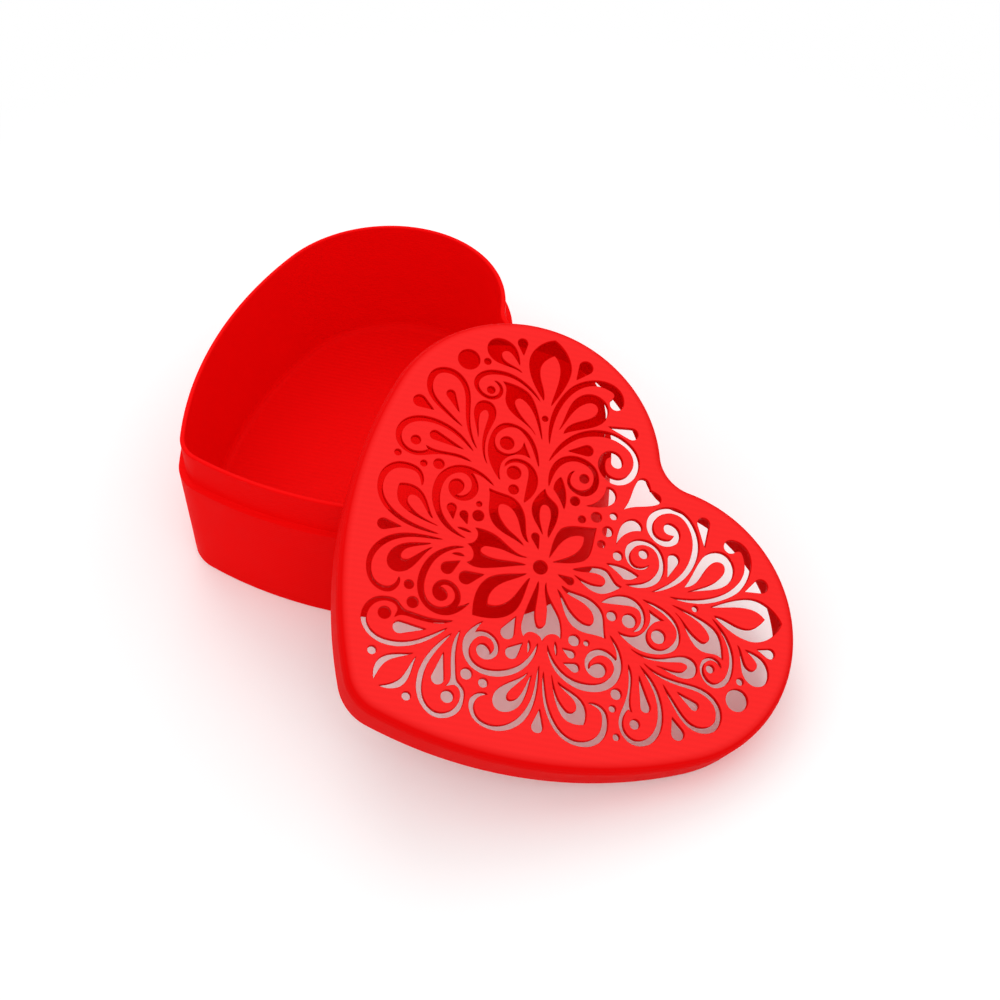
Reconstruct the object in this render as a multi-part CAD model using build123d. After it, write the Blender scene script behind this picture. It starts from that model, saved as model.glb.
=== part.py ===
from build123d import *
import math
import os

# Heart-shaped gift box of red plastic: a base with a set-in lip, and a pierced lid whose skirt
# goes over that lip. The lid is off, and leans with its skirt on the floor and on the base's rim.
# Millimetres and degrees, +Z up. The origin is on the floor, under the middle of the base,
# with +X across the two lobes and +Y towards the notch between them.

# Outline of the heart, shared by the base and the lid
box_width = 100.0       # across both lobes
box_length = 86.4       # from the tops of the lobes to the tip
lobe_radius = 28.9
notch_radius = 7.8      # hollow round between the lobes
tip_radius = 10.1
side_radius = 91.7      # long arc from a lobe to the tip

# Base
base_height = 32.4      # floor to the top of the lip
lip_height = 8.0        # lip above its ledge
lip_wall = 1.0
floor_thickness = 2.0

# Lid
skirt_wall = 1.25
panel_thickness = 1.0
lid_edge_radius = 2.7   # round of the upper edge
lid_inner_radius = 1.0  # round inside the same edge
panel_land = 0.3        # flat rim between the rounded edge and the pierced panel
lid_clearance = 0.25    # skirt to lip all round, when the box is closed
lid_headroom = 0.6      # top of the lip to the underside of the lid, when the box is closed

# How the lid leans on the base
lean_tilt = 24.6
lean_heading = 5.0      # where the tilted lid faces, from +X towards +Y
lean_turn = 6.2         # turn of the lid in its own plane
lean_sideways = 5.3     # middle of the lid past the middle of the base, along Y
lean_gap = 0.3          # left open where the skirt rests on the rim
lean_step = 0.01        # how finely the lid's place is found

quarter_turn = 90.0
half_turn = 180.0

# Ornament of the lid, drawn by hand inside a heart of these sizes, which is the panel there.
# All are shares of that drawing. Places are x from the middle line and y up from near the line
# through the centres of the lobes. On the lid each place keeps its share of the panel's height
# above or below that line, and of the panel's half width at that height.
drawing_width_share = 94.2
drawing_length_share = 80.6
drawing_lobe_share = 25.7
drawing_notch_share = 10.8
drawing_tip_share = 4.0
drawing_side_share = 82.6
drawing_line_share = 0.5

# Dots on the middle line: x, y, radius
middle_dot_shares = ((0, -12.45, 1.45), (0, 6.75, 0.8))

# Dots of the right half
dot_shares = (
    (1.8, 3.65, 1.1), (3.1, 0.9, 0.8), (6.85, 2.15, 1.0), (9.5, 6.75, 1.0),
    (24.05, 8.15, 0.65), (40.4, 6.05, 0.75), (42.8, 3.1, 2.25), (35.0, 2.75, 0.85),
    (24.1, -1.7, 1.45), (18.35, -4.5, 1.45), (15.6, -6.8, 1.05),
    (15.2, -16.15, 1.15), (17.0, -14.5, 0.6), (28.1, -16.05, 1.1), (29.9, -18.5, 0.7),
    (34.7, -16.8, 1.0), (34.6, -21.4, 0.7),
    (8.5, -37.5, 1.15), (11.75, -35.95, 0.95), (9.9, -43.15, 1.25), (5.3, -49.4, 0.85),
)

# Drops of the right half: x and y of the tail, x and y of the head, radius of the head
drop_shares = (
    (3.0, -10.5, 5.5, -9.3, 0.8),
    (5.05, -22.6, 6.6, -26.0, 1.35),
    (15.7, 18.1, 11.6, 21.3, 1.3),
    (16.0, 7.7, 13.85, 11.15, 1.2),
    (27.3, 19.1, 28.4, 22.6, 1.45),
    (37.5, 13.2, 39.8, 14.8, 1.05),
    (34.5, -5.8, 38.7, -4.75, 0.9),
    (37.7, -9.8, 40.9, -11.0, 1.3),
    (27.7, -9.95, 33.4, -12.95, 1.0),
    (15.0, -19.1, 17.0, -18.4, 0.85),
    (17.4, -20.8, 19.5, -19.5, 0.95),
    (9.9, -24.8, 10.2, -27.8, 1.25),
    (21.9, -30.1, 24.4, -32.7, 1.15),
    (2.7, -38.5, 6.05, -42.5, 1.25),
)

# Slots of the right half, pointed at both ends: rows of x, y, half width along the middle
slot_shares = (
    # half of the leaf at the tip
    ((0.4, -43.3, 0), (1.35, -45.2, 0.28), (2.35, -47.2, 0.5), (2.65, -48.8, 0.62), (2.1, -50.6, 0.5),
     (0.7, -52.4, 0)),
    # small scroll of the lobe, which goes round its dot
    ((12.2, -0.4, 0), (13.6, 1.2, 0.35), (14.7, 3.2, 0.55), (15.0, 5.2, 0.62), (14.2, 7.5, 0.55),
     (12.3, 9.1, 0.5), (10.0, 9.6, 0.48), (8.0, 8.7, 0.52), (6.8, 6.9, 0.6), (7.0, 4.9, 0.6),
     (8.4, 3.6, 0.4), (10.2, 3.4, 0.3), (11.5, 4.4, 0.25), (11.9, 6.2, 0)),
    # long slot that curls round a dot at the shoulder
    ((27.5, 9.7, 0), (30.0, 9.75, 0.2), (33.0, 9.2, 0.3), (35.5, 8.0, 0.38), (37.5, 6.1, 0.45),
     (38.6, 4.0, 0.5), (38.6, 2.4, 0.48), (37.8, 1.1, 0.42), (36.4, 0.6, 0.36), (34.9, 0.8, 0.33),
     (33.6, 1.7, 0.33), (33.1, 3.1, 0.33), (33.7, 4.4, 0.3), (34.9, 4.9, 0.25), (36.3, 4.5, 0)),
    # leaf that runs on round a dot
    ((12.3, -6.8, 0), (13.1, -4.9, 0.7), (14.3, -3.0, 1.0), (16.0, -1.5, 0.8), (17.8, -1.05, 0.45),
     (19.4, -1.7, 0.38), (20.5, -3.1, 0.34), (20.7, -4.3, 0.24), (20.4, -5.3, 0)),
    # outer loop
    ((26.4, -7.65, 0), (29.0, -7.0, 0.2), (32.0, -5.5, 0.34), (34.5, -3.6, 0.42), (37.0, -1.75, 0.48),
     (39.5, -0.9, 0.52), (41.7, -1.15, 0.55), (43.5, -2.5, 0.58), (44.15, -4.3, 0.6), (43.4, -6.3, 0.58),
     (41.7, -7.7, 0.5), (39.4, -8.2, 0.42), (36.5, -7.95, 0.34), (34.0, -7.55, 0.22), (31.7, -7.15, 0)),
    # upper hook of the lower spray
    ((26.35, -21.75, 0), (27.5, -20.75, 0.3), (29.2, -20.35, 0.45), (31.2, -21.4, 0.58),
     (32.7, -23.4, 0.62), (32.9, -25.4, 0.6), (32.0, -27.5, 0.52), (30.2, -29.1, 0.46),
     (27.8, -29.85, 0.46), (25.0, -29.65, 0.42), (22.0, -28.65, 0.36), (19.5, -27.2, 0.28),
     (16.6, -25.0, 0)),
    # lower hook of the lower spray
    ((15.2, -24.95, 0), (17.0, -26.8, 0.22), (19.0, -29.0, 0.32), (20.5, -31.3, 0.45),
     (21.4, -34.0, 0.55), (21.35, -36.5, 0.56), (20.4, -38.8, 0.5), (18.6, -40.5, 0.42),
     (16.4, -41.25, 0.42), (14.4, -40.8, 0.48), (13.1, -39.4, 0.5), (13.1, -37.9, 0.36),
     (14.1, -36.6, 0)),
    # two slits beside the rosette
    ((13.2, -19.4, 0), (14.4, -20.15, 0.25), (15.7, -21.1, 0)),
    ((10.1, -23.5, 0), (11.1, -24.2, 0.28), (12.0, -25.3, 0)),
)

# Cut-outs of the right half: rows of x, y, each a smooth run from one corner to the next
cutout_shares = (
    # large scroll of the lobe, with its eye
    (((16.4, 3.0), (17.6, 5.8), (18.15, 9.0), (17.8, 12.2), (16.3, 15.6), (13.8, 18.1), (11.0, 19.3),
      (8.3, 19.5), (5.6, 18.3), (4.05, 15.9), (3.95, 13.1), (5.3, 11.1), (7.8, 10.35), (10.2, 11.0),
      (11.5, 12.8), (11.4, 14.8), (10.0, 16.0), (8.4, 15.95), (7.25, 14.9), (7.6, 13.8), (8.7, 13.45),
      (9.5, 13.9), (10.1, 14.5)),
     ((10.1, 14.5), (10.3, 13.3), (9.5, 12.2), (7.9, 11.45), (6.2, 12.1), (5.2, 13.6), (5.3, 15.6),
      (6.3, 17.3), (8.4, 18.35), (10.8, 18.1), (13.1, 17.0), (15.3, 14.7), (16.8, 11.7), (17.2, 9.0),
      (17.0, 6.0), (16.4, 3.0))),
    # comma beside the bell
    (((5.6, 9.5), (4.1, 10.35), (2.8, 9.8), (2.2, 8.0), (2.8, 6.0), (4.85, 3.4)),
     ((4.85, 3.4), (4.2, 5.4), (4.5, 7.8), (5.6, 9.5))),
    # leaf under the small scroll
    (((6.7, -0.85), (8.0, 0.7), (9.9, 2.05), (12.4, 3.0)), ((12.4, 3.0), (12.2, 1.5), (11.2, 0.1)),
     ((11.2, 0.1), (9.0, -0.15), (6.7, -0.85))),
    # middle pod of the lobe
    (((19.45, 9.3), (18.5, 12.2), (17.3, 15.2), (16.9, 17.6), (17.7, 19.8), (19.3, 20.95), (21.0, 20.95),
      (22.7, 20.1), (23.8, 18.4), (24.0, 16.4), (23.2, 13.9), (20.55, 8.95)),
     ((20.55, 8.95), (21.5, 12.0), (22.25, 14.8), (22.2, 17.1), (21.5, 18.6), (20.5, 19.05),
      (19.4, 18.5), (18.9, 17.0), (19.4, 14.6), (20.05, 12.2), (19.45, 9.3))),
    # slot with a round hook over that pod
    (((19.2, 5.4), (22.7, 8.3), (24.9, 11.5), (26.1, 14.7), (26.55, 17.8), (26.0, 20.6), (24.7, 23.0),
      (22.6, 24.8), (20.3, 25.3), (18.2, 24.5), (17.15, 22.9), (17.6, 21.75), (18.7, 21.4),
      (19.6, 21.9), (19.9, 22.9)),
     ((19.9, 22.9), (20.5, 23.8), (22.0, 23.4), (23.8, 22.1), (25.0, 20.0), (25.4, 17.6), (25.1, 15.0),
      (24.0, 11.9), (22.2, 8.9), (19.2, 5.4))),
    # wide leaf pod of the lobe
    (((25.55, 10.9), (26.5, 14.0), (27.8, 17.1), (29.6, 19.6), (32.0, 20.9), (36.7, 20.95)),
     ((36.7, 20.95), (37.45, 17.2), (36.4, 14.1), (33.8, 12.0), (30.8, 10.95), (27.3, 10.4)),
     ((27.3, 10.4), (29.8, 12.1), (32.2, 13.3), (33.7, 14.8), (34.2, 16.6), (34.0, 18.65)),
     ((34.0, 18.65), (31.3, 18.0), (29.2, 16.1), (27.4, 13.6), (25.55, 10.9))),
    # round pod at the shoulder
    (((36.1, 11.1), (38.0, 12.3), (40.1, 12.85), (42.4, 12.1), (43.75, 10.2), (43.3, 8.4), (41.7, 7.35),
      (39.8, 7.45), (37.8, 8.6), (34.5, 10.45)),
     ((34.5, 10.45), (37.9, 9.35), (39.5, 9.15), (40.4, 9.8), (40.2, 10.9), (38.9, 11.4), (36.1, 11.1))),
    # pointed pod below it
    (((20.7, 4.7), (23.0, 6.2), (25.5, 7.5), (28.0, 8.5), (30.2, 8.8), (32.3, 8.1), (35.2, 5.95)),
     ((35.2, 5.95), (33.4, 5.5), (31.8, 4.0), (30.0, 3.3), (27.6, 3.5), (25.3, 4.1), (22.2, 4.2)),
     ((22.2, 4.2), (26.5, 4.35), (29.2, 4.65), (30.5, 5.4), (30.5, 6.4), (29.2, 7.1), (27.0, 7.1),
      (24.3, 6.3), (20.7, 4.7))),
    # scroll with a leaf, below the lobe
    (((16.5, 0.5), (18.5, 1.9), (21.2, 3.0), (24.0, 3.15), (26.3, 2.2), (27.8, 0.5), (28.0, -1.2),
      (27.3, -3.2), (25.9, -5.1), (24.3, -6.4), (22.0, -7.4), (18.6, -7.85)),
     ((18.6, -7.85), (20.4, -6.7), (21.6, -4.9), (21.6, -2.7), (20.7, -0.9), (18.9, 0.25)),
     ((18.9, 0.25), (20.7, 0.75), (22.4, 1.35)),
     ((22.4, 1.35), (21.5, -0.3), (21.6, -1.8), (22.4, -3.3), (23.9, -4.1), (25.5, -3.8), (26.7, -2.5),
      (27.0, -0.7), (26.5, 1.0), (25.3, 2.15), (23.6, 2.45), (21.3, 2.2), (19.0, 1.45), (16.5, 0.5))),
    # narrow pod of the side spray
    (((22.7, -7.95), (25.8, -6.2), (28.0, -3.6), (29.2, -1.2), (30.5, 0.5), (32.1, 1.1), (33.6, 0.5),
      (34.25, -0.8), (33.8, -2.3), (32.3, -3.7), (28.2, -6.0)),
     ((28.2, -6.0), (30.0, -4.5), (31.7, -3.0), (32.35, -1.7), (32.0, -0.75), (31.2, -0.85),
      (30.2, -1.8), (29.0, -3.5), (26.6, -6.1), (22.7, -7.95))),
    # loop of the side spray, with a spur
    (((26.3, -8.6), (29.5, -8.4), (32.5, -8.95), (35.2, -10.2), (37.6, -12.1), (39.1, -14.5),
      (39.35, -16.8), (38.4, -18.9), (36.4, -20.1), (34.1, -19.95), (32.2, -18.75), (30.9, -16.7),
      (29.9, -15.0), (28.1, -12.9), (24.8, -10.3)),
     ((24.8, -10.3), (28.4, -12.4), (30.6, -14.6), (32.7, -15.8)), ((32.7, -15.8), (31.7, -15.95)),
     ((31.7, -15.95), (32.4, -17.7), (33.9, -19.0), (35.8, -19.25), (37.4, -18.4), (38.2, -16.6),
      (38.0, -14.9), (36.7, -12.7), (34.6, -10.9), (32.2, -9.7), (29.5, -9.0), (26.3, -8.6))),
    # middle scroll, with its eye
    (((18.3, -9.65), (20.5, -9.7), (22.7, -10.4), (24.7, -11.7), (26.0, -13.5), (26.5, -15.6),
      (26.2, -17.7), (25.1, -19.7), (23.2, -21.5), (20.5, -22.7), (17.5, -23.0), (15.0, -22.35),
      (12.9, -21.1)),
     ((12.9, -21.1), (15.2, -21.85), (17.6, -22.1), (20.0, -21.7), (22.3, -20.4), (24.0, -18.6),
      (24.95, -16.4), (24.8, -14.5), (23.9, -13.1), (22.6, -12.65), (21.2, -13.0), (20.2, -14.1),
      (20.0, -15.4), (20.3, -16.4), (21.2, -17.1)),
     ((21.2, -17.1), (21.1, -15.6), (21.9, -14.5), (23.1, -14.5), (23.9, -15.5), (23.7, -16.8),
      (22.7, -17.7), (21.3, -17.9), (19.9, -17.3), (18.9, -15.9), (18.8, -14.2), (19.6, -12.7),
      (21.0, -11.9), (22.9, -11.6)),
     ((22.9, -11.6), (21.6, -10.65), (20.1, -10.1), (18.3, -9.65))),
    # lower scroll, with its eye
    (((11.6, -22.4), (13.0, -24.1), (13.8, -26.4), (13.95, -28.9), (13.3, -31.3), (11.7, -33.8),
      (9.6, -35.4), (7.0, -36.0), (4.5, -35.3), (2.7, -33.6), (2.0, -31.4), (2.2, -28.5)),
     ((2.2, -28.5), (2.45, -29.8), (2.95, -30.9)),
     ((2.95, -30.9), (3.7, -29.6), (5.0, -28.8), (6.7, -28.65), (8.3, -29.4), (9.05, -30.9),
      (8.7, -32.4), (7.6, -33.3), (6.3, -33.3), (5.4, -32.4), (5.6, -31.3), (6.6, -30.85), (8.0, -31.3)),
     ((8.0, -31.3), (7.9, -30.4), (7.0, -29.65), (5.6, -29.6), (4.5, -30.3), (4.0, -31.6), (4.3, -33.1),
      (5.4, -34.4), (7.1, -34.9), (9.0, -34.4), (10.7, -33.0), (12.1, -30.9), (12.9, -28.6),
      (12.95, -26.4), (12.5, -24.4), (11.6, -22.4))),
    # pod of the lower spray that points to the side
    (((19.7, -24.0), (22.3, -23.2), (24.6, -22.5), (26.4, -22.6), (28.0, -23.5), (29.2, -25.0)),
     ((29.2, -25.0), (28.0, -26.5), (26.3, -27.4), (24.3, -27.3), (21.8, -26.4), (17.9, -24.1)),
     ((17.9, -24.1), (22.0, -25.9), (24.2, -26.2), (25.8, -25.8), (26.2, -24.8), (25.4, -23.9),
      (23.8, -23.65), (19.7, -24.0))),
    # pod of the lower spray that points to the tip
    (((15.1, -27.6), (14.9, -30.0), (14.3, -32.8), (14.4, -35.0), (15.5, -36.6), (16.9, -37.0),
      (18.2, -36.4), (19.1, -34.9), (19.2, -33.0), (18.3, -30.7), (15.85, -27.3)),
     ((15.85, -27.3), (16.95, -29.7), (17.7, -31.5), (17.75, -33.1), (16.95, -34.0), (16.1, -33.5),
      (15.7, -32.0), (15.55, -30.0), (15.1, -27.6))),
    # loop of the tip spray, with a spur
    (((1.15, -33.3), (2.4, -34.9), (4.5, -37.0), (6.9, -38.75), (8.6, -39.7), (10.4, -39.7),
      (12.2, -40.9), (13.4, -43.0), (13.1, -45.5), (11.4, -47.5), (8.7, -48.15), (5.9, -47.4),
      (3.5, -45.4), (1.8, -42.6), (0.85, -39.4), (0.65, -35.0)),
     ((0.65, -35.0), (1.3, -37.9), (1.9, -40.3), (3.0, -42.9), (4.6, -45.0), (6.6, -46.6), (8.7, -47.2),
      (10.8, -46.7), (12.2, -45.0), (12.4, -43.0), (11.5, -41.3), (10.0, -40.45), (8.8, -40.8)),
     ((8.8, -40.8), (8.1, -42.2)),
     ((8.1, -42.2), (7.8, -40.9), (6.1, -39.35), (4.0, -37.7), (2.3, -35.9), (1.15, -33.3))),
    # three petals of the rosette
    (((3.85, -7.3), (5.0, -4.8), (6.3, -2.8), (8.0, -1.6), (10.0, -1.75), (12.2, -1.3)),
     ((12.2, -1.3), (11.8, -3.8), (11.0, -5.6), (9.3, -6.9), (7.4, -7.4), (4.9, -7.85)),
     ((4.9, -7.85), (7.4, -6.6), (9.2, -5.2), (9.85, -3.8), (9.2, -3.15), (7.9, -3.35), (6.2, -4.9),
      (3.85, -7.3))),
    (((5.2, -11.25), (7.3, -10.3), (9.5, -8.7), (11.9, -7.8), (14.1, -7.95), (16.1, -9.2), (18.5, -10.75)),
     ((18.5, -10.75), (16.6, -12.1), (14.8, -13.7), (12.5, -14.6), (9.6, -14.1), (7.3, -13.1),
      (5.25, -12.45)),
     ((5.25, -12.45), (7.6, -12.55), (9.6, -12.95), (11.9, -12.9), (13.9, -12.2), (14.7, -11.1),
      (14.1, -10.2), (12.6, -9.6), (10.8, -9.75), (8.9, -10.5), (7.4, -11.2), (5.2, -11.25))),
    (((3.0, -13.35), (5.0, -14.6), (7.6, -15.2), (10.2, -15.8), (12.0, -16.8), (13.6, -18.2)),
     ((13.6, -18.2), (12.2, -18.5), (11.5, -19.5), (11.9, -21.5)),
     ((11.9, -21.5), (10.2, -21.4), (8.9, -22.4), (9.0, -23.9)),
     ((9.0, -23.9), (7.3, -23.1), (5.5, -20.8), (3.9, -18.0), (1.95, -14.5)),
     ((1.95, -14.5), (4.5, -16.9), (6.6, -19.1), (8.1, -20.1), (9.3, -20.3), (9.7, -19.4), (8.9, -18.1),
      (7.0, -16.4), (5.0, -15.2), (3.0, -13.35))),
)

# Cut-outs across the middle line, given as the rows of their right halves
middle_cutout_shares = (
    # bell under the notch
    (((0, 16.75), (0.9, 17.2), (2.0, 17.5), (3.2, 16.4)), ((3.2, 16.4), (2.3, 14.1), (1.2, 12.3), (0, 9.4))),
    # petal of the rosette that points to the notch
    (((0, 2.2), (1.4, 0.4), (2.9, -1.5), (3.8, -3.6), (3.3, -5.7), (2.1, -7.7), (0.5, -9.8)),
     ((0.5, -9.8), (1.4, -7.0), (1.75, -4.6), (1.3, -2.6), (0, -1.1))),
    # petal of the rosette that points to the tip
    (((0, -25.8), (1.35, -24.3), (1.85, -22.4), (1.7, -20.4), (1.0, -17.9), (0.5, -15.5)),
     ((0.5, -15.5), (1.7, -17.4), (3.2, -19.8), (4.05, -22.2), (3.9, -24.3), (2.8, -26.6), (0, -29.5))),
)

# Sizes that follow from the ones above
ledge_width = skirt_wall + lid_clearance
lid_height = lip_height + lid_headroom + panel_thickness
panel_border = lid_edge_radius + panel_land


def bearing(start, end):
    return math.degrees(math.atan2(end.Y - start.Y, end.X - start.X))


class Heart:
    # a heart of four arcs on each side, which meet smoothly, with its middle at the origin
    def __init__(self, width, length, lobe_radius, notch_radius, tip_radius, side_radius):
        self.lobe_radius = lobe_radius
        self.notch_radius = notch_radius
        self.tip_radius = tip_radius
        self.side_radius = side_radius
        self.lobe = Vector(width / 2 - lobe_radius, length / 2 - lobe_radius)
        self.tip = Vector(0, tip_radius - length / 2)
        self.notch_rise = math.sqrt((lobe_radius + notch_radius) ** 2 - self.lobe.X ** 2)
        self.notch = Vector(0, self.lobe.Y + self.notch_rise)
        # the long side arc touches the lobe's circle and the tip's circle from outside
        tip_to_lobe = self.lobe - self.tip
        to_tip = side_radius - tip_radius
        to_lobe = side_radius - lobe_radius
        along = (tip_to_lobe.length ** 2 + to_tip ** 2 - to_lobe ** 2) / (2 * tip_to_lobe.length)
        across = math.sqrt(to_tip ** 2 - along ** 2)
        direction = tip_to_lobe.normalized()
        self.side = self.tip + direction * along + direction.rotate(Axis.Z, quarter_turn) * across
        self.tip_end = bearing(self.side, self.tip)
        self.side_end = bearing(self.side, self.lobe)
        self.lobe_end = bearing(self.lobe, self.notch)

    def face(self):
        right = [
            CenterArc(self.tip, self.tip_radius, -quarter_turn, self.tip_end + quarter_turn),
            CenterArc(self.side, self.side_radius, self.tip_end, self.side_end - self.tip_end),
            CenterArc(self.lobe, self.lobe_radius, self.side_end, self.lobe_end - self.side_end),
            CenterArc(self.notch, self.notch_radius, self.lobe_end - half_turn, quarter_turn - self.lobe_end),
        ]
        return make_face(right + mirrored(right))

    def room_above(self):
        # from the line through the centres of the lobes, to the top of a lobe
        return self.lobe_radius

    def room_at_notch(self):
        return self.notch_rise - self.notch_radius

    def room_below(self):
        return self.lobe.Y - self.tip.Y + self.tip_radius

    def half_width(self, rise):
        # at this height above the line through the centres of the lobes
        y = self.lobe.Y + rise
        if y > self.side.Y + self.side_radius * math.sin(math.radians(self.side_end)):
            centre, radius = self.lobe, self.lobe_radius
        elif y > self.side.Y + self.side_radius * math.sin(math.radians(self.tip_end)):
            centre, radius = self.side, self.side_radius
        else:
            centre, radius = self.tip, self.tip_radius
        return centre.X + math.sqrt(radius ** 2 - (y - centre.Y) ** 2)


def mirrored(edges):
    return [edge.mirror(Plane.YZ) for edge in edges]


def box_heart(inset):
    # outline of the box, drawn in all round by the inset, which widens the hollow notch
    return Heart(box_width - 2 * inset, box_length - 2 * inset, lobe_radius - inset,
                 notch_radius + inset, tip_radius - inset, side_radius - inset)


def heart(inset):
    return box_heart(inset).face()


def top_edges(solid):
    return solid.faces().sort_by(Axis.Z)[-1].edges()


def make_base():
    body = extrude(heart(0), base_height - lip_height)
    lip = extrude(heart(ledge_width), base_height)
    hollow = extrude(heart(ledge_width + lip_wall), base_height)
    return body + lip - Pos(0, 0, floor_thickness) * hollow


def make_lid_rim():
    # skirt, rounded edge and the start of the plate, with an open middle for the panel
    outside = extrude(heart(0), lid_height)
    outside = fillet(top_edges(outside), lid_edge_radius)
    inside = extrude(heart(skirt_wall), lid_height - panel_thickness)
    inside = fillet(top_edges(inside), lid_inner_radius)
    return outside - inside - extrude(heart(panel_border), lid_height)


panel = box_heart(panel_border)
drawing = Heart(drawing_width_share, drawing_length_share, drawing_lobe_share,
                drawing_notch_share, drawing_tip_share, drawing_side_share)
# above the line through the centres, the lobes or the notch leave less room
upper_stretch = min(panel.room_above() / drawing.room_above(), panel.room_at_notch() / drawing.room_at_notch())
lower_stretch = panel.room_below() / drawing.room_below()


def stretches(y_share):
    # of the drawing to the panel at this height: across, and up
    rise_share = y_share - drawing_line_share
    up = upper_stretch if rise_share > 0 else lower_stretch
    return panel.half_width(rise_share * up) / drawing.half_width(rise_share), up


def spot(x_share, y_share):
    across, up = stretches(y_share)
    return Vector(x_share * across, panel.lobe.Y + (y_share - drawing_line_share) * up)


def dot(x_share, y_share, radius_share):
    radius = radius_share * min(stretches(y_share))
    return [CenterArc(spot(x_share, y_share), radius, 0, 2 * half_turn)]


def drop(tail_x_share, tail_y_share, head_x_share, head_y_share, radius_share):
    # two straight sides from the tail, which touch the round head
    tail = spot(tail_x_share, tail_y_share)
    head = spot(head_x_share, head_y_share)
    radius = radius_share * min(stretches(head_y_share))
    opening = math.degrees(math.acos(radius / (tail - head).length))
    start = bearing(head, tail) + opening
    arc = CenterArc(head, radius, start, 2 * (half_turn - opening))
    return [Line(tail, arc @ 0), arc, Line(arc @ 1, tail)]


def run(points, places):
    # a line, or a smooth curve that is timed by the steps between the places on the drawing
    if len(points) == 2:
        return Line(*points)
    times = [0]
    for before, after in zip(places, places[1:]):
        times.append(times[-1] + math.dist(before[:2], after[:2]))
    return Edge.make_spline(points, parameters=times)


def slot(rows):
    # the sides stand off the middle by the half width, square to the line between the neighbours
    middle = [spot(x_share, y_share) for x_share, y_share, _ in rows]
    one_side = [middle[0]]
    other_side = [middle[0]]
    for before, here, after, row in zip(middle, middle[1:], middle[2:], rows[1:]):
        half_width = row[2] * min(stretches(row[1]))
        out = (after - before).normalized().rotate(Axis.Z, quarter_turn) * half_width
        one_side.append(here + out)
        other_side.append(here - out)
    one_side.append(middle[-1])
    other_side.append(middle[-1])
    return [run(one_side, rows), run(other_side, rows)]


def cutout(rows):
    return [run([spot(*place) for place in row], row) for row in rows]


def make_panel():
    # thin plate with every opening of the ornament in one face
    right = [dot(*row) for row in dot_shares]
    right += [drop(*row) for row in drop_shares]
    right += [slot(rows) for rows in slot_shares]
    right += [cutout(rows) for rows in cutout_shares]
    middle = [dot(*row) for row in middle_dot_shares]
    for rows in middle_cutout_shares:
        edges = cutout(rows)
        middle.append(edges + mirrored(edges))
    openings = [Wire(edges) for edges in right + [mirrored(edges) for edges in right] + middle]
    plate = Face(heart(panel_border).face().outer_wire(), openings)
    return Pos(0, 0, lid_height - panel_thickness) * extrude(plate, panel_thickness)


def find_lean(base):
    # the lid is tilted, set down on the floor, and slid in from +X until it is at the base
    tilted = Rot(0, 0, lean_heading) * Rot(0, lean_tilt, 0) * Rot(0, 0, lean_turn)
    skirt_foot = tilted * (heart(0) - heart(skirt_wall))
    underside = tilted * Pos(0, 0, lid_height - panel_thickness) * heart(skirt_wall)
    lift = -skirt_foot.bounding_box().min.Z
    near = 0
    far = box_width
    while far - near > lean_step:
        slide = (near + far) / 2
        place = Pos(slide, lean_sideways, lift)
        gap = min((place * face).distance_to(base) for face in (skirt_foot, underside))
        if gap < lean_gap:
            near = slide
        else:
            far = slide
    return Pos(far, lean_sideways, lift) * tilted


os.makedirs("parts", exist_ok=True)
heart_base = make_base()
lean = find_lean(heart_base)
export_step(heart_base, "parts/heart_base.step")
export_step(lean * make_lid_rim(), "parts/lid_rim.step")
export_step(lean * make_panel(), "parts/filigree_panel.step")
print("lid leans at", lean)
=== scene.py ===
import math
import bmesh
import bpy
import numpy as np
from mathutils import Matrix, Vector


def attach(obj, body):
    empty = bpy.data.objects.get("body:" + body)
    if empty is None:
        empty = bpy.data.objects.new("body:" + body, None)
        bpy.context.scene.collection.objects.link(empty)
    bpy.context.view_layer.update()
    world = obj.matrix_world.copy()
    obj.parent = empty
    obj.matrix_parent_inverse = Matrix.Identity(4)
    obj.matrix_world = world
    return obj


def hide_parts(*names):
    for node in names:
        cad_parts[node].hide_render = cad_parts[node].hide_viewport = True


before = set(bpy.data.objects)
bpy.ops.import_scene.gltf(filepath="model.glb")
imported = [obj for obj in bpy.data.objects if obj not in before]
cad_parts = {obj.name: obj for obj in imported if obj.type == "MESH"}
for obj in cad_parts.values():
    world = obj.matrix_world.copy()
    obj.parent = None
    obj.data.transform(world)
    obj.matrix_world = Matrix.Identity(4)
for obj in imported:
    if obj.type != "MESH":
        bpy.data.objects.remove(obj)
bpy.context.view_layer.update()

mm = 0.001
sameSpot = 1e-7  # points nearer than this, in metres, are merged

# heart outline in mm, the same for the base and the lid
heartSizes = {"width": 100.0, "length": 86.4, "lobe": 28.9, "notch": 7.8, "tip": 10.1, "side": 91.7,
              "tipSteps": 14, "sideSteps": 26, "lobeSteps": 56, "notchSteps": 14}


def addNode(tree, kind, links=None, **settings):
    node = tree.nodes.new(kind)
    for name, value in settings.items():
        setattr(node, name, value)
    for socket, value in (links or {}).items():
        if isinstance(value, bpy.types.NodeSocket):
            tree.links.new(value, node.inputs[socket])
        else:
            node.inputs[socket].default_value = value
    return node


def emptyTree(owner):
    owner.use_nodes = True
    owner.node_tree.nodes.clear()
    return owner.node_tree


def newObject(name, data):
    obj = bpy.data.objects.new(name, data)
    bpy.context.scene.collection.objects.link(obj)
    return obj


def srgb(code):
    channels = [int(code[i:i + 2], 16) / 255 for i in (1, 3, 5)]
    return [c / 12.92 if c <= 0.04045 else ((c + 0.055) / 1.055) ** 2.4 for c in channels] + [1.0]


def arcPoints(centre, radius, start, end, steps):
    angles = np.linspace(start, end, steps + 1)[:-1]
    return np.c_[centre[0] + radius * np.cos(angles), centre[1] + radius * np.sin(angles)]


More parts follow.
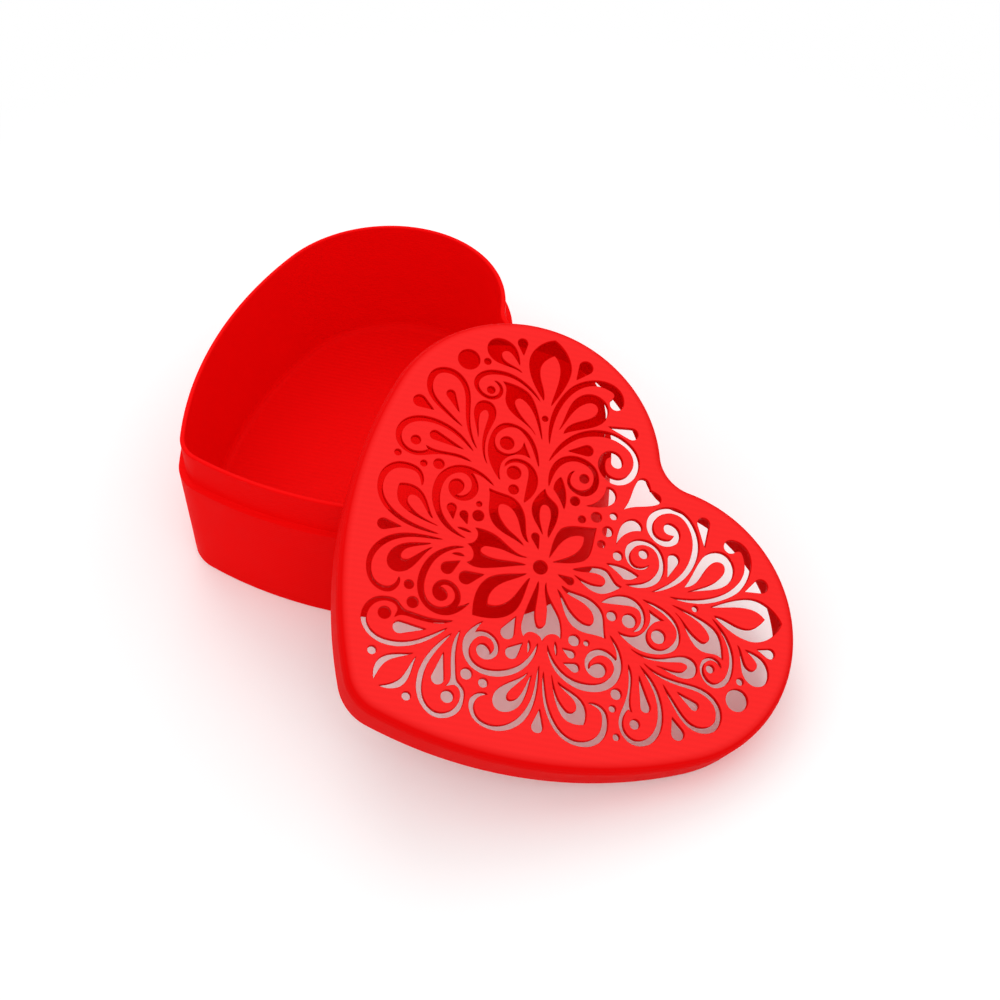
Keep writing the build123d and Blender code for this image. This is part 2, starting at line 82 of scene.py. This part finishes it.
def heartRing(inset):
    # four arcs a side that meet smoothly; every inset gives the same number of points
    s = heartSizes
    lobeR, notchR = s["lobe"] - inset, s["notch"] + inset
    tipR, sideR = s["tip"] - inset, s["side"] - inset
    lobe = np.array([s["width"] / 2 - s["lobe"], s["length"] / 2 - s["lobe"]])
    tip = np.array([0, s["tip"] - s["length"] / 2])
    notch = np.array([0, lobe[1] + math.sqrt((s["lobe"] + s["notch"]) ** 2 - lobe[0] ** 2)])
    span = lobe - tip
    reach = np.hypot(*span)
    toTip, toLobe = s["side"] - s["tip"], s["side"] - s["lobe"]
    along = (reach ** 2 + toTip ** 2 - toLobe ** 2) / (2 * reach)
    unit = span / reach
    side = tip + unit * along + np.array([-unit[1], unit[0]]) * math.sqrt(toTip ** 2 - along ** 2)
    tipEnd = math.atan2(*(tip - side)[::-1])
    sideEnd = math.atan2(*(lobe - side)[::-1])
    lobeEnd = math.atan2(*(notch - lobe)[::-1])
    right = np.vstack([
        arcPoints(tip, tipR, -math.pi / 2, tipEnd, s["tipSteps"]),
        arcPoints(side, sideR, tipEnd, sideEnd, s["sideSteps"]),
        arcPoints(lobe, lobeR, sideEnd, lobeEnd, s["lobeSteps"]),
        arcPoints(notch, notchR, lobeEnd - math.pi, -math.pi / 2, s["notchSteps"])])
    bottomOfNotch = np.array([[0, notch[1] - notchR]])
    left = right[1:][::-1] * [-1, 1]
    return np.vstack([right, bottomOfNotch, left]) * mm


def profileRows(corners, hold):
    # rows of inset and height along a section whose corners are rounded; hold keeps the flats flat
    rows = [corners[0][:2]]
    for before, here, after in zip(corners, corners[1:], corners[2:]):
        c = np.array(here[:2], float)
        come = c - np.array(before[:2], float)
        leave = np.array(after[:2], float) - c
        come, leave = come / np.hypot(*come), leave / np.hypot(*leave)
        radius, steps = here[2], here[3]
        rows.append(c - come * (radius + hold))
        middle = c - come * radius + leave * radius
        for k in range(steps + 1):
            turn = math.pi / 2 * k / steps
            rows.append(middle + come * radius * math.sin(turn) - leave * radius * math.cos(turn))
        rows.append(c + leave * (radius + hold))
    rows.append(corners[-1][:2])
    return [(float(r[0]), float(r[1])) for r in rows]


def sweepHeart(rows, capped):
    # rings of the heart, one for each row, joined by quads
    bm = bmesh.new()
    rings = []
    for inset, height in rows:
        rings.append([bm.verts.new((x, y, height * mm)) for x, y in heartRing(inset)])
    for low, high in zip(rings, rings[1:]):
        for i in range(len(low)):
            j = (i + 1) % len(low)
            bm.faces.new((low[i], low[j], high[j], high[i])).smooth = True
    if capped:
        bm.faces.new(rings[0])
        bm.faces.new(rings[-1])
    return bm


def finishMesh(bm, name, place):
    bmesh.ops.remove_doubles(bm, verts=bm.verts, dist=sameSpot)
    bmesh.ops.recalc_face_normals(bm, faces=bm.faces)
    bm.transform(place)
    mesh = bpy.data.meshes.new(name)
    bm.to_mesh(mesh)
    bm.free()
    return newObject(name, mesh)


# how the lid leans: place in mm, angles in degrees
lean = {"place": (57.306, 5.3, 20.120), "heading": 5.0, "tilt": 24.6, "turn": 6.2}
leanTurn = (Matrix.Rotation(math.radians(lean["heading"]), 4, "Z")
            @ Matrix.Rotation(math.radians(lean["tilt"]), 4, "Y")
            @ Matrix.Rotation(math.radians(lean["turn"]), 4, "Z"))
leanPlace = Matrix.Translation(Vector(lean["place"]) * mm) @ leanTurn

# PLA, printed in layers and left as it came off the bed: a deep even red, nearly matte, with a faint sheen.
# Layers are 0.2 mm and print lines 0.42 mm, too fine to show, so they are drawn about three times as coarse.
# Colours are the walls' darkest and lightest red and the red of the flats; lengths are in mm.
# painted light: the flats' lighter, whiter red is painted sheen, most of all on the lid's top; the lid's
# walls are a darker red than the base's, which is painted shade on its rounded edge and in its openings
printedRed = {"base": ("#F40405", "#F90708", "#FA0A0B"), "lid": ("#E90405", "#EE0607", "#FF2A2A"),
              "layer": 0.6, "line": 1.2, "lineTurn": 45, "waver": (0.4, 0.3), "waverScale": 0.3,
              "relief": 0.04, "reliefStrength": 0.6, "paintedGrooveShade": 0.03, "mottle": 7.0, "flat": (0.75, 0.99),
              "rough": (0.52, 0.62), "ior": 1.46, "sheen": 0.022}


def bandScale(length):
    return math.tau / 20 / (length * mm)  # at scale 1 a band of the wave texture is tau / 20 wide


def printedPla(name, colours, place):
    # place takes the bed that the piece was printed on to where the piece lies now
    s = printedRed
    dark, light, face = colours
    material = bpy.data.materials.new(name)
    tree = emptyTree(material)
    coords = addNode(tree, "ShaderNodeTexCoord")
    bed = addNode(tree, "ShaderNodeMapping",
                  {"Vector": coords.outputs["Object"], "Location": place.to_translation(),
                   "Rotation": place.to_euler()}, vector_type="TEXTURE")
    upright = addNode(tree, "ShaderNodeMapping",
                      {"Vector": coords.outputs["Normal"], "Rotation": place.to_euler()},
                      vector_type="TEXTURE")
    split = addNode(tree, "ShaderNodeSeparateXYZ", {0: upright.outputs[0]})
    level = addNode(tree, "ShaderNodeMath", {0: split.outputs["Z"]}, operation="ABSOLUTE")
    # flat runs from the walls to the flats: it fades the flats' painted sheen into the walls' red over the
    # rounded edges, and it picks layers or print lines
    flat = addNode(tree, "ShaderNodeMapRange", {0: level.outputs[0], 1: s["flat"][0], 2: s["flat"][1]})
    layers = addNode(tree, "ShaderNodeTexWave",
                     {"Vector": bed.outputs[0], "Scale": bandScale(s["layer"]), "Distortion": s["waver"][0],
                      "Detail": 1.0, "Detail Scale": s["waverScale"]}, bands_direction="Z")
    raster = addNode(tree, "ShaderNodeMapping",
                     {"Vector": bed.outputs[0], "Rotation": (0, 0, math.radians(s["lineTurn"]))})
    lines = addNode(tree, "ShaderNodeTexWave",
                    {"Vector": raster.outputs[0], "Scale": bandScale(s["line"]), "Distortion": s["waver"][1],
                     "Detail": 1.0, "Detail Scale": s["waverScale"]}, bands_direction="X")
    mottle = addNode(tree, "ShaderNodeTexNoise",
                     {"Vector": bed.outputs[0], "Scale": 1 / (s["mottle"] * mm), "Detail": 4.0,
                      "Roughness": 0.6})
    tint = addNode(tree, "ShaderNodeMix",
                   {"Factor": mottle.outputs["Fac"], 6: srgb(dark), 7: srgb(light)}, data_type="RGBA")
    # painted sheen: the flats take the lighter, whiter red
    colourWithPaintedSheen = addNode(tree, "ShaderNodeMix",
                     {"Factor": flat.outputs[0], 6: tint.outputs[2], 7: srgb(face)}, data_type="RGBA")
    rough = addNode(tree, "ShaderNodeMapRange",
                    {0: mottle.outputs["Fac"], 1: 0.3, 2: 0.7, 3: s["rough"][0], 4: s["rough"][1]})
    # layers show on the walls, print lines on the flats; the grooves between them are darkened with painted
    # shade
    relief = addNode(tree, "ShaderNodeMix",
                     {"Factor": flat.outputs[0], 2: layers.outputs["Fac"], 3: lines.outputs["Fac"]},
                     data_type="FLOAT")
    shade = addNode(tree, "ShaderNodeMapRange", {0: relief.outputs[0], 3: 1 - s["paintedGrooveShade"], 4: 1.0})
    colourWithPaintedShade = addNode(tree, "ShaderNodeVectorMath",
                      {0: colourWithPaintedSheen.outputs[2], "Scale": shade.outputs[0]}, operation="SCALE")
    bump = addNode(tree, "ShaderNodeBump", {"Height": relief.outputs[0], "Strength": s["reliefStrength"],
                                            "Distance": s["relief"] * mm})
    skin = addNode(tree, "ShaderNodeBsdfPrincipled",
                   {"Base Color": colourWithPaintedShade.outputs[0], "Roughness": rough.outputs[0], "IOR": s["ior"],
                    "Specular IOR Level": s["sheen"], "Normal": bump.outputs[0]})
    addNode(tree, "ShaderNodeOutputMaterial", {"Surface": skin.outputs[0]})
    return material


basePla = printedPla("printedPlaBase", printedRed["base"], Matrix.Identity(4))
lidPla = printedPla("printedPlaLid", printedRed["lid"], leanPlace)
print("materials made")

# base: a straight wall, a ledge and a set-in lip; sizes in mm
baseSizes = {"wall": 24.4, "height": 32.4, "ledge": 1.5, "lip": 1.0, "floor": 2.0, "foot": 0.3,
             "edge": 0.25, "ledgeCorner": 0.15, "lipRound": 0.3, "inside": 1.8, "hold": 0.06,
             "footBand": 2.0, "floorBand": 3.0}
b = baseSizes
inner = b["ledge"] + b["lip"]
# each corner is inset, height, radius of its round and steps of the round; the two ends have no round
baseCorners = [(b["footBand"], 0), (0, 0, b["foot"], 4), (0, b["wall"], b["edge"], 4),
               (b["ledge"], b["wall"], b["ledgeCorner"], 3), (b["ledge"], b["height"], b["lipRound"], 5),
               (inner, b["height"], b["lipRound"], 5), (inner, b["floor"], b["inside"], 8),
               (inner + b["floorBand"], b["floor"])]
baseShell = sweepHeart(profileRows(baseCorners, b["hold"]), True)
heartBase = finishMesh(baseShell, "heartBase", Matrix.Identity(4))
heartBase.data.materials.append(basePla)
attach(heartBase, "base")
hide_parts("heart_base")
print("base made:", len(heartBase.data.polygons), "faces")

# lid: skirt and rounded edge swept round the heart, with the pierced plate in the middle; mm and degrees
lidSizes = {"height": 9.6, "skirt": 1.25, "plate": 1.0, "edge": 2.7, "border": 3.0, "inside": 1.0,
            "foot": 0.25, "hold": 0.04, "openingRound": 0.14, "roundSteps": 2, "openingSpacing": 0.4,
            "cornerTurn": 35.0}
s = lidSizes
lidCorners = [(s["border"], s["height"]), (0, s["height"], s["edge"], 10), (0, 0, s["foot"], 4),
              (s["skirt"], 0, s["foot"], 4), (s["skirt"], s["height"] - s["plate"], s["inside"], 5),
              (s["border"], s["height"] - s["plate"])]
lidRim = sweepHeart(profileRows(lidCorners, s["hold"]), False)


def openingLoops(node):
    # outlines of the openings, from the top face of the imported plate, in the lid's own coordinates
    snap = 1e-6  # metres
    bm = bmesh.new()
    bm.from_mesh(node.data)
    bmesh.ops.remove_doubles(bm, verts=bm.verts, dist=snap)
    bm.transform(leanPlace.inverted())
    top = max(v.co.z for v in bm.verts)
    faces = [f for f in bm.faces if all(abs(v.co.z - top) < 2 * snap for v in f.verts)]
    onTop = set(faces)  # looked up but never walked, so that every run takes the faces in the same order
    follow = {}
    for f in faces:
        for loop in f.loops:
            if sum(g in onTop for g in loop.edge.link_faces) == 1:
                follow[loop.vert] = loop.link_loop_next.vert
    loops = []
    while follow:
        start, here = follow.popitem()
        points = [start.co.xy]
        while here != start:
            points.append(here.co.xy)
            here = follow.pop(here)
        loops.append(np.array([tuple(p) for p in points]))
    bm.free()
    loops.sort(key=lambda p: -np.ptp(p[:, 0]))
    return loops[1:]  # the first is the plate's own border


def evenLoop(points, spacing, cornerTurn):
    # even steps between the corners, which stay where they are
    before, after = np.roll(points, 1, 0), np.roll(points, -1, 0)
    turn = np.angle(((after - points) @ [1, 1j]) / ((points - before) @ [1, 1j]))
    corners = np.flatnonzero(np.abs(turn) > math.radians(cornerTurn))
    if len(corners) == 0:
        corners = np.array([0])
    points = np.roll(points, -corners[0], 0)
    ends = list(corners - corners[0]) + [len(points)]
    ring = np.vstack([points, points[:1]])
    result = []
    for first, last in zip(ends, ends[1:]):
        stretch = ring[first:last + 1]
        along = np.r_[0, np.cumsum(np.hypot(*np.diff(stretch, axis=0).T))]
        count = max(2, round(along[-1] / spacing))
        steps = np.linspace(0, along[-1], count + 1)[:-1]
        x, y = stretch.T
        result.append(np.c_[np.interp(steps, along, x), np.interp(steps, along, y)])
    return np.vstack(result)


def loopCurve(name, loops, cyclic=True):
    curve = bpy.data.curves.new(name, "CURVE")
    curve.dimensions = "3D"
    for points in loops:
        count = len(points)
        spline = curve.splines.new("POLY")
        spline.points.add(count - 1)
        spline.points.foreach_set("co", np.c_[points, np.zeros(count), np.ones(count)].ravel())
        spline.use_cyclic_u = cyclic
    return newObject(name, curve)


def counterClockwise(points):
    x, y = points.T
    area = np.sum(x * np.roll(y, -1) - np.roll(x, -1) * y)
    return points if area > 0 else points[::-1]


def piercedPlateTree():
    # openings become walls with a rounded upper edge; the plate is filled between them and the border
    tree = bpy.data.node_groups.new("piercedPlate", "GeometryNodeTree")
    face = tree.interface
    face.new_socket("Openings", in_out="INPUT", socket_type="NodeSocketGeometry")
    face.new_socket("Border", in_out="INPUT", socket_type="NodeSocketObject")
    face.new_socket("Wall section", in_out="INPUT", socket_type="NodeSocketObject")
    face.new_socket("Thickness", in_out="INPUT", socket_type="NodeSocketFloat")
    face.new_socket("Edge round", in_out="INPUT", socket_type="NodeSocketFloat")
    face.new_socket("Material", in_out="INPUT", socket_type="NodeSocketMaterial")
    face.new_socket("Plate", in_out="OUTPUT", socket_type="NodeSocketGeometry")
    given = addNode(tree, "NodeGroupInput").outputs
    border = addNode(tree, "GeometryNodeObjectInfo", {"Object": given["Border"]})
    section = addNode(tree, "GeometryNodeObjectInfo", {"Object": given["Wall section"]})
    level = addNode(tree, "GeometryNodeSetCurveNormal", {"Curve": given["Openings"]}, mode="Z_UP")
    walls = addNode(tree, "GeometryNodeCurveToMesh",
                    {"Curve": level.outputs[0], "Profile Curve": section.outputs["Geometry"]})
    # the upper face starts where the rounded edges end
    tangent = addNode(tree, "GeometryNodeInputTangent")
    outward = addNode(tree, "ShaderNodeVectorMath",
                      {0: tangent.outputs[0], 1: (0, 0, 1)}, operation="CROSS_PRODUCT")
    widen = addNode(tree, "ShaderNodeVectorMath",
                    {0: outward.outputs[0], "Scale": given["Edge round"]}, operation="SCALE")
    wide = addNode(tree, "GeometryNodeSetPosition",
                   {"Geometry": given["Openings"], "Offset": widen.outputs[0]})
    upperLoops = addNode(tree, "GeometryNodeJoinGeometry", {0: wide.outputs[0]})
    tree.links.new(border.outputs["Geometry"], upperLoops.inputs[0])
    upper = addNode(tree, "GeometryNodeFillCurve", {"Curve": upperLoops.outputs[0]})
    # the lower face is filled up to the walls
    lowerLoops = addNode(tree, "GeometryNodeJoinGeometry", {0: given["Openings"]})
    tree.links.new(border.outputs["Geometry"], lowerLoops.inputs[0])
    lower = addNode(tree, "GeometryNodeFillCurve", {"Curve": lowerLoops.outputs[0]})
    depth = addNode(tree, "ShaderNodeMath", {0: given["Thickness"], 1: -1.0}, operation="MULTIPLY")
    drop = addNode(tree, "ShaderNodeCombineXYZ", {"Z": depth.outputs[0]})
    lowered = addNode(tree, "GeometryNodeTransform",
                      {"Geometry": lower.outputs[0], "Translation": drop.outputs[0]})
    flats = addNode(tree, "GeometryNodeJoinGeometry", {0: upper.outputs[0]})
    tree.links.new(lowered.outputs[0], flats.inputs[0])
    flatShade = addNode(tree, "GeometryNodeSetShadeSmooth",
                        {"Geometry": flats.outputs[0], "Shade Smooth": False})
    softShade = addNode(tree, "GeometryNodeSetShadeSmooth",
                        {"Geometry": walls.outputs[0], "Shade Smooth": True})
    parts = addNode(tree, "GeometryNodeJoinGeometry", {0: flatShade.outputs[0]})
    tree.links.new(softShade.outputs[0], parts.inputs[0])
    whole = addNode(tree, "GeometryNodeRealizeInstances", {0: parts.outputs[0]})
    done = addNode(tree, "GeometryNodeSetMaterial",
                   {"Geometry": whole.outputs[0], "Material": given["Material"]})
    addNode(tree, "NodeGroupOutput", {0: done.outputs[0]})
    return tree


loops = [counterClockwise(evenLoop(p, s["openingSpacing"] * mm, s["cornerTurn"]))
         for p in openingLoops(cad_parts["filigree_panel"])]
openings = loopCurve("openings", loops)
border = loopCurve("border", [heartRing(s["border"])])
wallRows = []  # out from the opening and down, in mm
for k in range(s["roundSteps"] + 1):
    turn = math.pi / 2 * k / s["roundSteps"]
    wallRows.append((s["openingRound"] * (1 - math.sin(turn)), s["openingRound"] * (1 - math.cos(turn))))
wallRows.append((0, s["plate"]))
wallSection = loopCurve("wallSection", [np.array(wallRows) * mm], cyclic=False)
plateTree = piercedPlateTree()
plateInputs = {"Border": border, "Wall section": wallSection, "Thickness": s["plate"] * mm,
               "Edge round": s["openingRound"] * mm, "Material": lidPla}
modifier = openings.modifiers.new("piercedPlate", "NODES")
modifier.node_group = plateTree
for item in plateTree.interface.items_tree:
    if item.in_out == "INPUT" and item.name in plateInputs:
        modifier[item.identifier] = plateInputs[item.name]
depsgraph = bpy.context.evaluated_depsgraph_get()
plateMesh = bpy.data.meshes.new_from_object(openings.evaluated_get(depsgraph))
openings.modifiers.remove(modifier)
plateMesh.transform(Matrix.Translation((0, 0, s["height"] * mm)))
lidRim.from_mesh(plateMesh)
for obj in (openings, border, wallSection):
    bpy.data.objects.remove(obj)
heartLid = finishMesh(lidRim, "heartLid", leanPlace)
heartLid.data.materials.append(lidPla)
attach(heartLid, "lid")
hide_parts("lid_rim", "filigree_panel")
print("lid made:", len(loops), "openings,", len(heartLid.data.polygons), "faces")

# stage: a white sheet, a soft white room and two weak soft lamps, behind and in front; metres and watts.
# The sheet keeps the shadow up to fade's first distance from the middle, and is plain white from the second.
studio = {"floor": "#FFFFFF", "bounce": "#F0F0F0", "reach": 6, "middle": (0.026, 0.005, 0),
          "fade": (0.10, 0.22), "lift": 0.06, "horizon": 0.80, "zenith": 0.975, "lampSize": 0.6,
          "back": 1.27, "backPlace": (-0.62, 0.17, 0.69), "front": 0.45, "frontPlace": (0.69, -0.03, 0.69)}


def shownRays(tree):
    # 1 for what the camera sees straight, in gloss or through glass, 0 for the light on the box
    seen = addNode(tree, "ShaderNodeLightPath")
    mirrored = addNode(tree, "ShaderNodeMath",
                       {0: seen.outputs["Is Glossy Ray"], 1: seen.outputs["Is Transmission Ray"]},
                       operation="MAXIMUM")
    shown = addNode(tree, "ShaderNodeMath",
                    {0: seen.outputs["Is Camera Ray"], 1: mirrored.outputs[0]}, operation="MAXIMUM")
    return shown.outputs[0]


r = studio["reach"]
floorMesh = bpy.data.meshes.new("floor")
floorMesh.from_pydata([(-r, -r, 0), (r, -r, 0), (r, r, 0), (-r, r, 0)], [], [(0, 1, 2, 3)])
floor = newObject("floor", floorMesh)
paper = bpy.data.materials.new("whitePaper")  # matte card: no gloss, an even white
tree = emptyTree(paper)
shown = shownRays(tree)
sheet = addNode(tree, "ShaderNodeMix",
                {"Factor": shown, 6: srgb(studio["bounce"]), 7: srgb(studio["floor"])}, data_type="RGBA")
matte = addNode(tree, "ShaderNodeBsdfDiffuse", {"Color": sheet.outputs[2]})
coords = addNode(tree, "ShaderNodeTexCoord")
away = addNode(tree, "ShaderNodeVectorMath",
               {0: coords.outputs["Object"], 1: studio["middle"]}, operation="DISTANCE")
fade = addNode(tree, "ShaderNodeMapRange",
               {0: away.outputs["Value"], 1: studio["fade"][0], 2: studio["fade"][1]},
               interpolation_type="SMOOTHSTEP")
plain = addNode(tree, "ShaderNodeMath", {0: fade.outputs[0], 1: shown}, operation="MULTIPLY")
glow = addNode(tree, "ShaderNodeMath", {0: shown, 1: studio["lift"]}, operation="MULTIPLY")
haze = addNode(tree, "ShaderNodeEmission", {"Color": srgb(studio["floor"]), "Strength": glow.outputs[0]})
near = addNode(tree, "ShaderNodeAddShader", {0: matte.outputs[0], 1: haze.outputs[0]})
white = addNode(tree, "ShaderNodeEmission", {"Color": srgb(studio["floor"]), "Strength": 1.0})
ground = addNode(tree, "ShaderNodeMixShader",
                 {0: plain.outputs[0], 1: near.outputs[0], 2: white.outputs[0]})
addNode(tree, "ShaderNodeOutputMaterial", {"Surface": ground.outputs[0]})
floorMesh.materials.append(paper)

world = bpy.data.worlds.new("studio")
bpy.context.scene.world = world
tree = emptyTree(world)
coords = addNode(tree, "ShaderNodeTexCoord")
split = addNode(tree, "ShaderNodeSeparateXYZ", {0: coords.outputs["Generated"]})
height = addNode(tree, "ShaderNodeMapRange",
                 {0: split.outputs["Z"], 3: studio["horizon"], 4: studio["zenith"]})
strength = addNode(tree, "ShaderNodeMix",
                   {"Factor": shownRays(tree), 2: height.outputs[0], 3: 1.0}, data_type="FLOAT")
sky = addNode(tree, "ShaderNodeBackground", {"Color": (1, 1, 1, 1), "Strength": strength.outputs[0]})
addNode(tree, "ShaderNodeOutputWorld", {"Surface": sky.outputs[0]})


def softLight(name, place, power):
    light = bpy.data.lights.new(name, "AREA")
    light.shape = "DISK"
    light.size = studio["lampSize"]
    light.energy = power
    lamp = newObject(name, light)
    lamp.visible_camera = False  # the lamps never show in a low view
    lamp.location = place
    toMiddle = Vector(studio["middle"]) - Vector(place)
    lamp.rotation_euler = toMiddle.to_track_quat("-Z", "Y").to_euler()


softLight("backLamp", studio["backPlace"], studio["back"])
softLight("frontLamp", studio["frontPlace"], studio["front"])

# camera of the photograph: place, lens and sensor in mm, angles in degrees
shot = {"place": (229.43, -92.99, 260.38), "azimuth": 61.489, "elevation": 47.310, "roll": 1.051,
        "lens": 56.748, "sensor": 36, "clipStart": 10}
cameraData = bpy.data.cameras.new("camera")
cameraData.lens = shot["lens"]
cameraData.sensor_width = shot["sensor"]
cameraData.clip_start = shot["clipStart"] * mm
camera = newObject("camera", cameraData)
camera.matrix_world = (Matrix.Translation(Vector(shot["place"]) * mm)
                       @ Matrix.Rotation(math.radians(shot["azimuth"]), 4, "Z")
                       @ Matrix.Rotation(math.radians(90 - shot["elevation"]), 4, "X")
                       @ Matrix.Rotation(math.radians(-shot["roll"]), 4, "Z"))
bpy.context.scene.camera = camera
bpy.context.scene.view_settings.view_transform = "Standard"
print("stage, lights and camera set")
